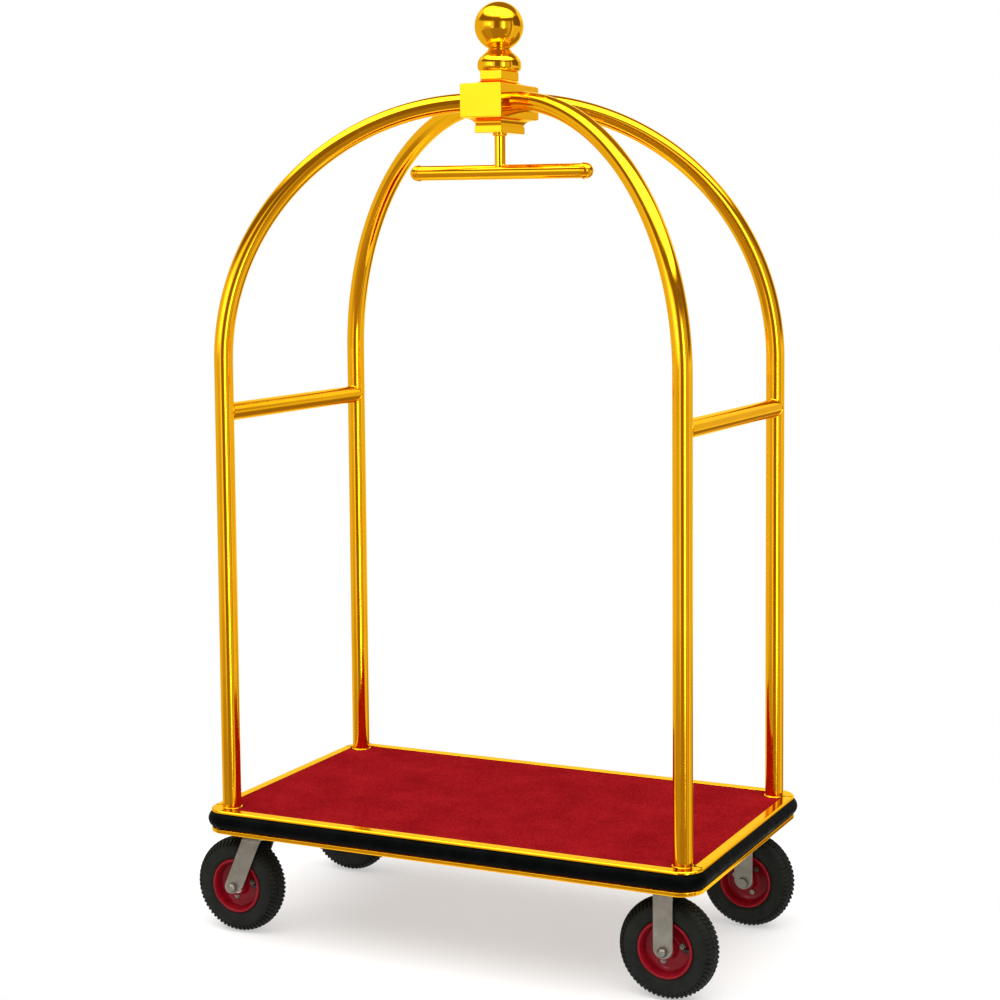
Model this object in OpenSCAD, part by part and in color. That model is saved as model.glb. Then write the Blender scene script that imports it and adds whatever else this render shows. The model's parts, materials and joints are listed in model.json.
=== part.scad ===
// Hotel luggage cart: a carpeted deck on four pneumatic casters, with a domed frame of four
// bent posts that meet in a crown block, and a garment bar that hangs below the crown.
// Millimetres. +Z is up, X runs along the cart, and z = 0 is the floor.

/* [Deck] */
// Length of the gold rim, without the rubber bumper
deck_l = 1084; // [1000:2:1200]
// Width of the gold rim, without the rubber bumper
deck_w = 600; // [560:2:680]
// Height of the rim's top face above the floor
deck_top = 272; // [270:1:298]
// Outer radius of the rim's corners
corner_r = 45; // [44:1:60]
// Width of the gold ledge around the carpet
ledge_w = 21; // [18:1:23]
// How far the rubber bumper stands out of the rim
bumper_out = 7; // [4:1:12]

/* [Posts] */
// Distance between the left and the right posts
post_span_x = 1000; // [920:2:1040]
// Distance between the front and the rear posts
post_span_y = 514; // [480:2:540]
// Outer diameter of the post tube
post_d = 38; // [34:1:42]
// Wall of the post tube
post_wall = 1.5; // [1.2:0.1:3]
// Height of the side rails above the floor
rail_z = 1086; // [900:1:1150]
// Outer diameter of the side rails
rail_d = 37; // [25:1:37]
// Radius of the bend that turns each post towards the crown
arch_r = 523; // [500:1:540]

/* [Crown] */
// Height at which the post tubes enter the crown block
crown_z = 1710; // [1600:5:1800]
// Size of the crown block along the cart
crown_l = 92; // [80:1:110]
// Size of the crown block across the cart
crown_w = 170; // [140:2:190]
// Height of the crown block
crown_h = 66; // [56:1:80]
// Diameter of the ball on top
ball_d = 99; // [70:1:110]
// Length of the garment bar, with its end knobs
bar_l = 412; // [300:1:500]
// Outer diameter of the garment bar
bar_d = 30; // [20:1:32]
// Drop from the crown tubes to the garment bar
bar_drop = 140; // [120:5:200]

/* [Casters] */
// Diameter of the pneumatic tyres
tyre_d = 198; // [190:1:202]
// Width of the tyres
tyre_w = 54; // [48:1:56]
// Distance from the deck's middle to the caster plates, along the cart
caster_x = 457; // [430:1:460]
// Distance from the deck's middle to the wheels' middle plane, across the cart
caster_y = 220; // [200:1:222]
// Distance by which a swivel wheel trails behind its kingpin
trail = 47; // [35:1:50]

/* [Hidden] */
$fn = 64;

// colours
gold = "#d9a520";
carpet_red = "#9d161e";
rubber = "#1a1b1c";
tyre_black = "#2b2d2b";
zinc = "#9a978f";
rim_red = "#8f1620";
wood = "#b08a5a";
steel = "#c4c6c8";

// x = 0 is midway between the trailing left tyres and whatever reaches furthest right
wheel_r = tyre_d / 2;
cart_x = ((caster_x + trail + wheel_r) - max(deck_l / 2 + bumper_out, caster_x + wheel_r)) / 2;

// deck rim: a top flange, a web set back behind the bumper, and a bottom plate with a lip
flange_t = 5;
web_in = 13;
web_t = 3;
plate_in = 30;
sole_t = 3;
lip_t = 3;
lip_h = 9;
rim_h = 48;
corner_x = deck_l / 2 - corner_r;
corner_y = deck_w / 2 - corner_r;
rim_bottom = deck_top - rim_h;
channel_z = rim_bottom + lip_h;
panel_top = deck_top - flange_t;
panel_t = 12;
gap = 0.5;
bumper_gap = 0.2;
bumper_round_r = 18;

// cross members between the panel and the rim's bottom plate
member_bottom = rim_bottom + sole_t;
member_top = panel_top - panel_t;
member_w = 120;
member_wall = 2;
middle_member_w = 40;

// posts
post_r = post_d / 2;
bore_r = post_r - post_wall;
post_x = post_span_x / 2;
post_y = post_span_y / 2;
pad_r = 21.5;
plug_h = 36;
stud_r = 5;
arch_z = crown_z - arch_r;
entry_y = 25;
face_x = crown_l / 2;
arch_heading = atan2(post_y - entry_y, post_x - face_x);
// plan distance from a post to the place where its axis meets the crown block's face
post_plan = norm([post_x - face_x, post_y - entry_y]);
grub_out = 18;
spigot_angle = 5;
grub_r = 3;
grub_depth = 11;

// crown stack
cap_h = 29;
cap_plinth = [48, 78];
base_h = 30;
base_plinth = [60, 106];
cove_h = 11.5;
base_cove_h = 16;
rod_r = 5;
bulb_r = 44.3;
bulb_foot_r = 39;
neck_r = 22;
crown_top = crown_z + crown_h / 2;
crown_bottom = crown_z - crown_h / 2;
bulb_z = crown_top + cap_h;
bulb_h = 46;
ball_r = ball_d / 2;
ball_flat = 5.5;
ball_z = bulb_z + bulb_h + ball_r - ball_flat;
bar_z = crown_z - bar_drop;
stem_r = 11;
bar_r = bar_d / 2;
knob_r = 16;
collar_l = 6;
collar_r = 16.5;
tube_half = bar_l / 2 - knob_r - collar_l;

// caster plates and their bolts
plate_t = 4;
plate_size = [92, 72];
plate_top = member_bottom;
plate_bottom = plate_top - plate_t;
hole_dx = 34;
hole_dy = 24;
bolt_r = 4;
bolt_head_r = 9;
bolt_head_h = 3;
nut_h = 7;
clearance = 0.3;
casters = [for (sx = [-1, 1], sy = [-1, 1]) [sx * caster_x, sy * caster_y]];

// forks
leg_w = 40;
leg_t = 4;
leg_in = 30;
leg_below = 14;
leg_chamfer = 9;
axle_r = 6;
running = 0.05;
fork_top = wheel_r + 109;
race_r = 27;
race_w = 11;
race_h = 4;
race_ball_r = 3;
race_balls = 14;
race_base = fork_top + race_h;
race_top = race_base + 2 * race_ball_r + 0.8;
pin_head_r = 11;

// wheels, in their own frame: the axle lies along Y through the middle of the wheel
section_r = tyre_w / 2;
section_at = wheel_r - section_r;
seat_r = 50.5;
flange_r = 56;
sheet_t = 2.5;
barrel_half = 20;
hub_r = 19;
hub_half = 26;
bearing_r = 16;
bearing_w = 10;
inner_ring_r = 9;
rim_bolt_at = 29;
rim_bolt_r = 3;
valve_r = 4;
valve_y = 8;
wheels = [
    [-caster_x - trail, -caster_y],
    [-caster_x - trail, caster_y],
    [caster_x, -caster_y],
    [caster_x, caster_y]
];
left_front = wheels[0];
left_rear = wheels[1];
right_front = wheels[2];
right_rear = wheels[3];

// ---------------------------------------------------------------- helpers

module on_cart() {
    translate([cart_x, 0, 0])
        children();
}

// the four posts; the children's +X and +Y point out, towards the deck's corner
module at_posts() {
    for (quarter = [0 : 3]) {
        sx = quarter == 0 || quarter == 3 ? 1 : -1;
        sy = quarter < 2 ? 1 : -1;
        translate([sx * post_x, sy * post_y, 0])
            rotate([0, 0, 90 * quarter])
                children();
    }
}

module at_casters() {
    for (c = casters)
        translate([c[0], c[1], 0])
            children();
}

module at_plate_holes() {
    for (sx = [-1, 1], sy = [-1, 1])
        translate([sx * hole_dx, sy * hole_dy, 0])
            children();
}

// a straight round bar from z0 up to z1
module rod(r, z0, z1) {
    translate([0, 0, z0])
        cylinder(r = r, h = z1 - z0);
}

// a block of the given plan size, centred on the z axis, from z0 up to z1
module slab(size, z0, z1) {
    translate([-size[0] / 2, -size[1] / 2, z0])
        cube([size[0], size[1], z1 - z0]);
}

module hexagon(across_flats, z0, z1) {
    translate([0, 0, z0])
        cylinder(d = across_flats / cos(30), h = z1 - z0, $fn = 6);
}

// a rounded rectangle in plan
module rounded_plan(half_x, half_y, r) {
    square([2 * half_x, 2 * (half_y - r)], center = true);
    square([2 * (half_x - r), 2 * half_y], center = true);
    for (sx = [-1, 1], sy = [-1, 1])
        translate([sx * (half_x - r), sy * (half_y - r)])
            circle(r = r);
}

// carries a section around the deck: its x is measured outwards from the corner centres
module around_deck() {
    for (turn = [0, 180])
        rotate([0, 0, turn]) {
            translate([corner_x, corner_y, 0])
                rotate([90, 0, 0])
                    linear_extrude(2 * corner_y)
                        children();
            translate([-corner_x, corner_y, 0])
                rotate([90, 0, 90])
                    linear_extrude(2 * corner_x)
                        children();
            translate([corner_x, corner_y, 0])
                rotate_extrude(angle = 90)
                    children();
            translate([-corner_x, corner_y, 0])
                rotate([0, 0, 90])
                    rotate_extrude(angle = 90)
                        children();
        }
}

// ---------------------------------------------------------------- deck

module rim_section() {
    translate([corner_r - ledge_w, panel_top])
        square([ledge_w, flange_t]);
    translate([corner_r - web_in - web_t, rim_bottom + 1])
        square([web_t, rim_h - 2]);
    translate([corner_r - plate_in, rim_bottom])
        square([plate_in, sole_t]);
    translate([corner_r - lip_t, rim_bottom])
        square([lip_t, lip_h]);
}

// the seat under a post: round towards the carpet, square towards the deck's corner
module post_seat(grow, z0, z1) {
    rod(pad_r + grow, z0, z1);
    translate([0, 0, z0])
        cube([pad_r + 2, pad_r + 2, z1 - z0]);
}

module deck_frame() {
    color(gold)
        on_cart()
            difference() {
                union() {
                    around_deck()
                        rim_section();
                    at_posts()
                        post_seat(0, panel_top, deck_top);
                }
                at_posts()
                    rod(stud_r + clearance, panel_top - 1, deck_top + 1);
            }
}

module bumper_strip() {
    back = corner_r - web_in + bumper_gap;
    mid_z = (channel_z + panel_top) / 2;
    half_h = (panel_top - channel_z) / 2 - bumper_gap;
    color(rubber)
        on_cart()
            around_deck()
                intersection() {
                    translate([corner_r + bumper_out - bumper_round_r, mid_z])
                        circle(r = bumper_round_r);
                    translate([back, mid_z - half_h])
                        square([web_in + bumper_out, 2 * half_h]);
                }
}

// everything inside the rim's web, from z0 up to z1
module inside_web(z0, z1) {
    inset = web_in + web_t + gap;
    translate([0, 0, z0])
        linear_extrude(z1 - z0)
            rounded_plan(deck_l / 2 - inset, deck_w / 2 - inset, corner_r - inset);
}

module deck_panel() {
    color(wood)
        on_cart()
            difference() {
                inside_web(panel_top - panel_t, panel_top);
                at_posts()
                    rod(stud_r + clearance, 0, deck_top);
                at_casters()
                    at_plate_holes() {
                        rod(bolt_r + clearance, 0, deck_top);
                        rod(bolt_head_r + clearance, panel_top - bolt_head_h, deck_top);
                    }
            }
}

module carpet() {
    color(carpet_red)
        on_cart()
            difference() {
                slab([deck_l - 2 * ledge_w - 2 * gap, deck_w - 2 * ledge_w - 2 * gap],
                    panel_top, deck_top);
                at_posts()
                    post_seat(gap, panel_top - 1, deck_top + 1);
            }
}

module box_tube(w, l) {
    difference() {
        slab([w, l], member_bottom, member_top);
        slab([w - 2 * member_wall, l + 2], member_bottom + member_wall, member_top - member_wall);
    }
}

module cross_members() {
    post_hole_r = 14;
    pin_hole_r = 13;
    color(steel)
        on_cart()
            difference() {
                intersection() {
                    union() {
                        for (sx = [-1, 1])
                            translate([sx * caster_x, 0, 0])
                                box_tube(member_w, deck_w);
                        box_tube(middle_member_w, deck_w);
                    }
                    inside_web(member_bottom, member_top);
                }
                at_posts()
                    rod(post_hole_r, 0, deck_top);
                at_casters() {
                    rod(pin_hole_r, member_bottom - 1, member_bottom + member_wall + 1);
                    at_plate_holes()
                        rod(bolt_r + clearance, 0, deck_top);
                }
            }
}

// ---------------------------------------------------------------- posts and rails

// the bend of one post, in the vertical plane that leads it to the crown block
module arch(r, from_angle, to_angle) {
    translate([arch_r, 0, arch_z])
        rotate([90, 0, 0])
            rotate([0, 0, 180 - to_angle])
                rotate_extrude(angle = to_angle - from_angle)
                    translate([arch_r, 0])
                        circle(r = r);
}

// places a post that is drawn at the origin, bending towards +X, at the corner (sx, sy)
module at_corner(sx, sy) {
    translate([sx * post_x, sy * post_y, 0])
        rotate([0, 0, atan2(-sy * sin(arch_heading), -sx * cos(arch_heading))])
            children();
}

module post(sx, sy) {
    color(gold)
        on_cart()
            difference() {
                at_corner(sx, sy)
                    difference() {
                        union() {
                            rod(post_r, deck_top, arch_z);
                            arch(post_r, 0, 90);
                        }
                        rod(bore_r, deck_top - 1, arch_z);
                        arch(bore_r, 0, 90);
                        translate([post_plan - grub_out, 0, crown_z - post_r - 1])
                            cylinder(r = grub_r + clearance, h = post_r);
                    }
                slab([crown_l, crown_w], crown_bottom, crown_top);
            }
}

module post_plugs() {
    color(steel)
        on_cart()
            at_posts()
                difference() {
                    rod(bore_r - 0.1, deck_top, deck_top + plug_h);
                    rod(stud_r + running, deck_top - 1, deck_top + plug_h - 6);
                }
}

module post_bolts() {
    washer_r = 11;
    washer_t = 2;
    head_h = 6.4;
    head_af = 16;
    color(zinc)
        on_cart()
            at_posts() {
                difference() {
                    rod(washer_r, member_top - washer_t, member_top);
                    rod(stud_r + clearance, 0, deck_top);
                }
                union() {
                    hexagon(head_af, member_top - washer_t - head_h, member_top - washer_t);
                    rod(stud_r, member_top - washer_t - 0.5, deck_top + plug_h - 8);
                }
            }
}

// a rail along Y between two posts, its ends coped to fit round them
module side_rail(sx) {
    rail_r = rail_d / 2;
    rail_wall = 1.5;
    color(gold)
        on_cart()
            difference() {
                translate([sx * post_x, post_y, rail_z])
                    rotate([90, 0, 0])
                        difference() {
                            cylinder(r = rail_r, h = post_span_y);
                            translate([0, 0, -1])
                                cylinder(r = rail_r - rail_wall, h = post_span_y + 2);
                        }
                at_posts()
                    rod(post_r + running, rail_z - post_d, rail_z + post_d);
            }
}

// ---------------------------------------------------------------- crown

module crown_block() {
    color(gold)
        on_cart()
            difference() {
                union() {
                    slab([crown_l, crown_w], crown_bottom, crown_top);
                    for (sx = [-1, 1], sy = [-1, 1])
                        at_corner(sx, sy)
                            arch(bore_r - 0.3, 90 - spigot_angle, 90);
                }
                rod(rod_r + 0.1, crown_bottom - 1, crown_top + 1);
                for (sx = [-1, 1], sy = [-1, 1])
                    at_corner(sx, sy)
                        translate([post_plan - grub_out, 0, crown_z - post_r])
                            cylinder(r = grub_r + running, h = grub_depth + 1);
            }
}

module crown_grub_screws() {
    color(zinc)
        on_cart()
            for (sx = [-1, 1], sy = [-1, 1])
                at_corner(sx, sy)
                    translate([post_plan - grub_out, 0, crown_z - post_r - 0.5])
                        cylinder(r = grub_r, h = grub_depth);
}

// three frusta that approach a hollow cove between two plinth sizes
module cove(big, small, z_big, z_small) {
    steps = 3;
    skin = 0.2;
    rise = z_small - z_big;
    function width_at(s, i) = small[i] + (big[i] - small[i]) * pow(1 - s, 2);
    for (k = [0 : steps - 1]) {
        lower = k / steps;
        upper = (k + 1) / steps;
        hull()
            for (s = [lower, upper])
                translate([0, 0, z_big + rise * s - skin / 2])
                    linear_extrude(skin)
                        square([width_at(s, 0), width_at(s, 1)], center = true);
    }
}

module crown_cap() {
    color(gold)
        on_cart()
            difference() {
                union() {
                    cove([crown_l - 2, crown_w - 2], cap_plinth, crown_top + 0.1, crown_top + cove_h);
                    slab(cap_plinth, crown_top + cove_h - 0.1, bulb_z);
                }
                rod(rod_r + 0.1, crown_top - 1, bulb_z + 1);
            }
}

module crown_base() {
    color(gold)
        on_cart()
            difference() {
                union() {
                    cove([crown_l - 2, crown_w - 2], base_plinth,
                        crown_bottom - 0.1, crown_bottom - base_cove_h);
                    slab(base_plinth, crown_bottom - base_h, crown_bottom - base_cove_h + 0.1);
                }
                rod(rod_r + 0.1, crown_bottom - base_h - 1, crown_bottom + 1);
            }
}

// a turned bulb: a squat round belly on a narrower foot, drawn in smoothly to the neck
module finial_bulb() {
    belly_z = 9.5;
    belly = [for (a = [-90 : 15 : -15]) [
        bulb_foot_r + (bulb_r - bulb_foot_r) * cos(a),
        belly_z + belly_z * sin(a)
    ]];
    shoulder = [for (s = [0 : 0.0625 : 1]) [
        neck_r + (bulb_r - neck_r) * (1 + cos(180 * pow(s, 1.55))) / 2,
        belly_z + (bulb_h - belly_z) * s
    ]];
    color(gold)
        on_cart()
            translate([0, 0, bulb_z])
                difference() {
                    rotate_extrude()
                        polygon(concat([[0, 0]], belly, shoulder, [[0, bulb_h]]));
                    rod(rod_r + 0.1, -1, bulb_h + 1);
                }
}

module finial_ball() {
    color(gold)
        on_cart()
            difference() {
                translate([0, 0, ball_z])
                    sphere(r = ball_r, $fn = 96);
                rod(ball_r, ball_z - ball_r - 1, bulb_z + bulb_h);
                rod(rod_r + 0.1, ball_z - ball_r, ball_z - 14);
            }
}

module crown_tie_rod() {
    color(steel)
        on_cart()
            rod(rod_r, bar_z + 30, ball_z - 16);
}

// ---------------------------------------------------------------- garment bar

module hanger_stem() {
    color(gold)
        on_cart()
            difference() {
                union() {
                    rod(stem_r, bar_z, crown_bottom - base_h);
                    rod(rod_r, bar_z - 6, bar_z + 2);
                }
                translate([0, 0, bar_z])
                    rotate([0, 90, 0])
                        difference() {
                            translate([0, 0, -30])
                                cylinder(r = bar_r + running, h = 60);
                            translate([-bar_r - 1, 0, 0])
                                rotate([0, 90, 0])
                                    cylinder(r = rod_r, h = bar_r + 8);
                        }
                rod(rod_r + 0.1, bar_z + 28, crown_bottom);
            }
}

module hanger_bar() {
    bar_wall = 2;
    color(gold)
        on_cart()
            difference() {
                translate([-tube_half, 0, bar_z])
                    rotate([0, 90, 0])
                        difference() {
                            cylinder(r = bar_r, h = 2 * tube_half);
                            translate([0, 0, -1])
                                cylinder(r = bar_r - bar_wall, h = 2 * tube_half + 2);
                        }
                rod(rod_r + 0.1, bar_z, bar_z + bar_r + 1);
            }
}

module hanger_end_knobs() {
    color(gold)
        on_cart()
            for (turn = [0, 180])
                rotate([0, 0, turn])
                    translate([tube_half, 0, bar_z])
                        rotate([0, 90, 0]) {
                            rod(bar_r - 2.6, -16, 0.5);
                            rod(collar_r, 0, collar_l);
                            intersection() {
                                translate([0, 0, collar_l])
                                    sphere(r = knob_r);
                                rod(knob_r + 2, collar_l / 2, collar_l + knob_r + 2);
                            }
                        }
}

// ---------------------------------------------------------------- casters

module caster_bolts() {
    color(zinc)
        on_cart()
            at_casters()
                at_plate_holes() {
                    rod(bolt_r, plate_bottom - nut_h - 4, panel_top - 0.2);
                    rod(bolt_head_r, panel_top - bolt_head_h, panel_top - 0.2);
                }
}

module caster_nuts() {
    color(zinc)
        on_cart()
            at_casters()
                at_plate_holes()
                    difference() {
                        hexagon(13, plate_bottom - nut_h, plate_bottom);
                        rod(bolt_r + running, plate_bottom - nut_h - 1, plate_bottom + 1);
                    }
}

module plate() {
    difference() {
        slab(plate_size, plate_bottom, plate_top);
        at_plate_holes()
            rod(bolt_r + clearance, 0, deck_top);
    }
}

// two legs from the fork's top down to the axle; x_shift is how far the axle is offset in x
module fork_legs(top_z, x_shift) {
    drop = top_z - wheel_r;
    rake = atan2(x_shift, drop);
    half_w = leg_w / 2;
    reach = norm([x_shift, drop]) + leg_w;
    outline = [
        [-half_w, reach],
        [half_w, reach],
        [half_w, leg_chamfer - leg_below],
        [half_w - leg_chamfer, -leg_below],
        [leg_chamfer - half_w, -leg_below],
        [-half_w, leg_chamfer - leg_below]
    ];
    for (y = [-leg_in - leg_t, leg_in])
        intersection() {
            translate([-x_shift, y + leg_t, wheel_r])
                rotate([90, rake, 0])
                    linear_extrude(leg_t)
                        polygon(outline);
            slab([4 * leg_w + 2 * x_shift, 4 * leg_w], 0, top_z);
        }
}

module fork_holes(x_shift) {
    translate([-x_shift, 100, wheel_r])
        rotate([90, 0, 0])
            cylinder(r = axle_r + 0.1, h = 200);
}

module rigid_fork(sy) {
    color(zinc)
        on_cart()
            translate([caster_x, sy * caster_y, 0])
                difference() {
                    union() {
                        plate();
                        fork_legs(plate_top - 1, 0);
                    }
                    fork_holes(0);
                }
}

module swivel_plates() {
    color(zinc)
        on_cart()
            for (sy = [-1, 1])
                translate([-caster_x, sy * caster_y, 0])
                    difference() {
                        union() {
                            plate();
                            rod(race_r + race_w / 2, race_top, plate_bottom + 1);
                        }
                        rod(race_r - race_w / 2, race_top - 1, plate_bottom);
                        rod(axle_r + running, 0, deck_top);
                    }
}

module kingpins() {
    pin_end = fork_top - 13;
    nut_top = fork_top - plate_t - 0.5;
    color(zinc)
        on_cart()
            for (sy = [-1, 1])
                translate([-caster_x, sy * caster_y, 0]) {
                    rod(axle_r, pin_end, plate_top + 1);
                    rod(pin_head_r, plate_top, plate_top + 5);
                    difference() {
                        hexagon(18, nut_top - 7, nut_top);
                        rod(axle_r + running, nut_top - 8, nut_top + 1);
                    }
                }
}

module swivel_fork(sy) {
    crown_r = 38;
    color(zinc)
        on_cart()
            translate([-caster_x, sy * caster_y, 0])
                difference() {
                    union() {
                        rod(crown_r, fork_top - plate_t, fork_top);
                        rod(race_r + race_w / 2, fork_top - 1, race_base);
                        fork_legs(fork_top, trail);
                    }
                    rod(race_r - race_w / 2, fork_top, race_base + 1);
                    rod(axle_r + running, 0, deck_top);
                    fork_holes(trail);
                }
}

module swivel_balls(sy) {
    color(steel)
        on_cart()
            translate([-caster_x, sy * caster_y, race_base + race_ball_r + 0.3])
                for (k = [1 : race_balls])
                    rotate([0, 0, k * 360 / race_balls])
                        translate([race_r, 0, 0])
                            sphere(r = race_ball_r, $fn = 16);
}

// the axle's bolt head is on the inner side of the caster and its nut on the outer side
module facing_out(wheel) {
    on_cart()
        translate([wheel[0], wheel[1], wheel_r])
            rotate([0, 0, wheel[1] < 0 ? 0 : 180])
                rotate([90, 0, 0])
                    children();
}

module axle_bolt(wheel) {
    outer = leg_in + leg_t;
    head_h = 7;
    color(zinc)
        facing_out(wheel) {
            hexagon(19, -outer - head_h, -outer);
            rod(axle_r, -outer - 1, outer + 14);
        }
}

module axle_nut(wheel) {
    outer = leg_in + leg_t;
    color(zinc)
        facing_out(wheel)
            difference() {
                hexagon(19, outer, outer + 10);
                rod(axle_r + running, outer - 1, outer + 11);
            }
}

module rigid_axle_bolts() {
    axle_bolt(right_front);
    axle_bolt(right_rear);
}

module rigid_axle_nuts() {
    axle_nut(right_front);
    axle_nut(right_rear);
}

// ---------------------------------------------------------------- wheels

// turns a section about the wheel's axle: its x is the radius, its y lies along the axle
module turned(wheel) {
    facing_out(wheel)
        rotate_extrude()
            children();
}

module tyre(wheel) {
    cavity_r = section_r - 5;
    bead_inner = 13;
    color(tyre_black)
        turned(wheel)
            difference() {
                translate([section_at, 0])
                    circle(r = section_r);
                translate([section_at, 0])
                    circle(r = cavity_r);
                translate([0, -section_r])
                    square([seat_r + clearance, tyre_w]);
                translate([seat_r - 1, -bead_inner])
                    square([8, 2 * bead_inner]);
                for (side = [barrel_half - clearance, -section_r])
                    translate([0, side])
                        square([flange_r + clearance, section_r - barrel_half + clearance]);
            }
}

module inner_tube(wheel) {
    tube_r = section_r - 5.6;
    color(rubber)
        union() {
            turned(wheel)
                difference() {
                    translate([section_at, 0])
                        circle(r = tube_r);
                    translate([section_at, 0])
                        circle(r = tube_r - 1.5);
                }
            facing_out(wheel)
                translate([0, 0, valve_y])
                    rotate([0, 90, 0])
                        rod(valve_r, seat_r - 14, section_at - sqrt(pow(tube_r, 2) - pow(valve_y, 2)) + 1);
        }
}

// one half of the pressed rim: hub sleeve, disc, barrel and flange
module rim_half_section() {
    strips = [
        [bearing_r, hub_r, hub_half],
        [hub_r - 1, seat_r - 1, sheet_t],
        [seat_r - sheet_t, seat_r, barrel_half + sheet_t]
    ];
    for (s = strips)
        translate([s[0], running])
            square([s[1] - s[0], s[2] - running]);
    translate([seat_r - 1, barrel_half])
        square([flange_r - seat_r + 1, sheet_t]);
}

module rim(wheel) {
    color(rim_red)
        for (side = [0, 1])
            difference() {
                turned(wheel)
                    mirror([0, side])
                        rim_half_section();
                facing_out(wheel) {
                    for (k = [0 : 2])
                        rotate([0, 0, 10 + 120 * k])
                            translate([rim_bolt_at, 0, 0])
                                rod(rim_bolt_r + clearance, -5, 5);
                    translate([0, 0, valve_y])
                        rotate([0, 90, 0])
                            rod(valve_r + clearance, hub_r + 3, seat_r + 2);
                }
            }
}

module rim_bolts(wheel) {
    head_af = 10;
    color(zinc)
        facing_out(wheel)
            for (k = [0 : 2])
                rotate([0, 0, 10 + 120 * k])
                    translate([rim_bolt_at, 0, 0]) {
                        union() {
                            hexagon(head_af, -sheet_t - 4, -sheet_t);
                            rod(rim_bolt_r, -sheet_t - 1, sheet_t + 7);
                        }
                        difference() {
                            hexagon(head_af, sheet_t, sheet_t + 5);
                            rod(rim_bolt_r + running, 0, sheet_t + 6);
                        }
                    }
}

module bearings(wheel) {
    seat = hub_half - 2;
    color(steel)
        facing_out(wheel)
            for (side = [0, 1])
                mirror([0, 0, side])
                    difference() {
                        union() {
                            rod(bearing_r - 0.02, seat - bearing_w, seat);
                            rod(inner_ring_r, 0.2, leg_in - 0.15);
                        }
                        rod(axle_r + running, -1, leg_in + 1);
                    }
}

deck_frame();
deck_panel();
carpet();
bumper_strip();
cross_members();
post(-1, -1);  // post_front_left
post(1, -1);  // post_front_right
post(-1, 1);  // post_rear_left
post(1, 1);  // post_rear_right
post_plugs();
post_bolts();
side_rail(-1);  // side_rail_left
side_rail(1);  // side_rail_right
crown_block();
crown_grub_screws();
crown_cap();
finial_bulb();
finial_ball();
crown_base();
crown_tie_rod();
hanger_stem();
hanger_bar();
hanger_end_knobs();
caster_bolts();
caster_nuts();
rigid_fork(-1);  // rigid_fork_front
rigid_fork(1);  // rigid_fork_rear
rigid_axle_bolts();
rigid_axle_nuts();
swivel_plates();
kingpins();
swivel_fork(-1);  // swivel_fork_front
swivel_balls(-1);  // swivel_balls_front
axle_bolt(left_front);  // swivel_axle_bolt_front
axle_nut(left_front);  // swivel_axle_nut_front
swivel_fork(1);  // swivel_fork_rear
swivel_balls(1);  // swivel_balls_rear
axle_bolt(left_rear);  // swivel_axle_bolt_rear
axle_nut(left_rear);  // swivel_axle_nut_rear
tyre(left_front);  // tyre_left_front
inner_tube(left_front);  // inner_tube_left_front
rim(left_front);  // rim_left_front
rim_bolts(left_front);  // rim_bolts_left_front
bearings(left_front);  // bearings_left_front
tyre(left_rear);  // tyre_left_rear
inner_tube(left_rear);  // inner_tube_left_rear
rim(left_rear);  // rim_left_rear
rim_bolts(left_rear);  // rim_bolts_left_rear
bearings(left_rear);  // bearings_left_rear
tyre(right_front);  // tyre_right_front
inner_tube(right_front);  // inner_tube_right_front
rim(right_front);  // rim_right_front
rim_bolts(right_front);  // rim_bolts_right_front
bearings(right_front);  // bearings_right_front
tyre(right_rear);  // tyre_right_rear
inner_tube(right_rear);  // inner_tube_right_rear
rim(right_rear);  // rim_right_rear
rim_bolts(right_rear);  // rim_bolts_right_rear
bearings(right_rear);  // bearings_right_rear
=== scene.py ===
import json
import math
import random
import bmesh
import bpy
from mathutils import Matrix, Vector


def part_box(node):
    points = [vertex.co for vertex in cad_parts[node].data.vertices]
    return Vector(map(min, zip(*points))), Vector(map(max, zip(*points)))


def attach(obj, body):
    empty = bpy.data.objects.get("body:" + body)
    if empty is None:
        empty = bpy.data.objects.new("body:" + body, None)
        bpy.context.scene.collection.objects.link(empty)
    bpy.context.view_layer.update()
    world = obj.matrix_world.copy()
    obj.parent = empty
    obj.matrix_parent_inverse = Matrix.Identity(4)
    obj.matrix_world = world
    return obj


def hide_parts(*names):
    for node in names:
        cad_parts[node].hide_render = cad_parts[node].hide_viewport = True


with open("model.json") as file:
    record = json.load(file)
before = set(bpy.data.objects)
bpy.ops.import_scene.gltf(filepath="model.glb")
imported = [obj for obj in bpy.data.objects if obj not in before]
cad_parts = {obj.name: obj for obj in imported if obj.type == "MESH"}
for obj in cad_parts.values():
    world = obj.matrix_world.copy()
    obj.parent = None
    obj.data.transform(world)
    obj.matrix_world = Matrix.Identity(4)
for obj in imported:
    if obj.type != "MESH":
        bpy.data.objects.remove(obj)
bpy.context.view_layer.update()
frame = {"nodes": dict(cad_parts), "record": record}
random.seed(7)

# ------------------------------------------------------------------ sizes, in metres

MM = 0.001
deck_low, deck_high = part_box("deck_frame")
CART_X = (deck_low[0] + deck_high[0]) / 2
HALF_L = (deck_high[0] - deck_low[0]) / 2
HALF_W = (deck_high[1] - deck_low[1]) / 2
DECK_TOP = deck_high[2]
RIM_BOTTOM = deck_low[2]
CORNER_R = 45 * MM
CORNER_X = HALF_L - CORNER_R
CORNER_Y = HALF_W - CORNER_R
FLANGE_T = 5 * MM
LEDGE_W = 21 * MM
WEB_IN = 13 * MM
WEB_T = 3 * MM
PLATE_IN = 30 * MM
LIP_T = 3 * MM
LIP_H = 9 * MM
PANEL_TOP = DECK_TOP - FLANGE_T
SEAT_R = 21.5 * MM

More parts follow.
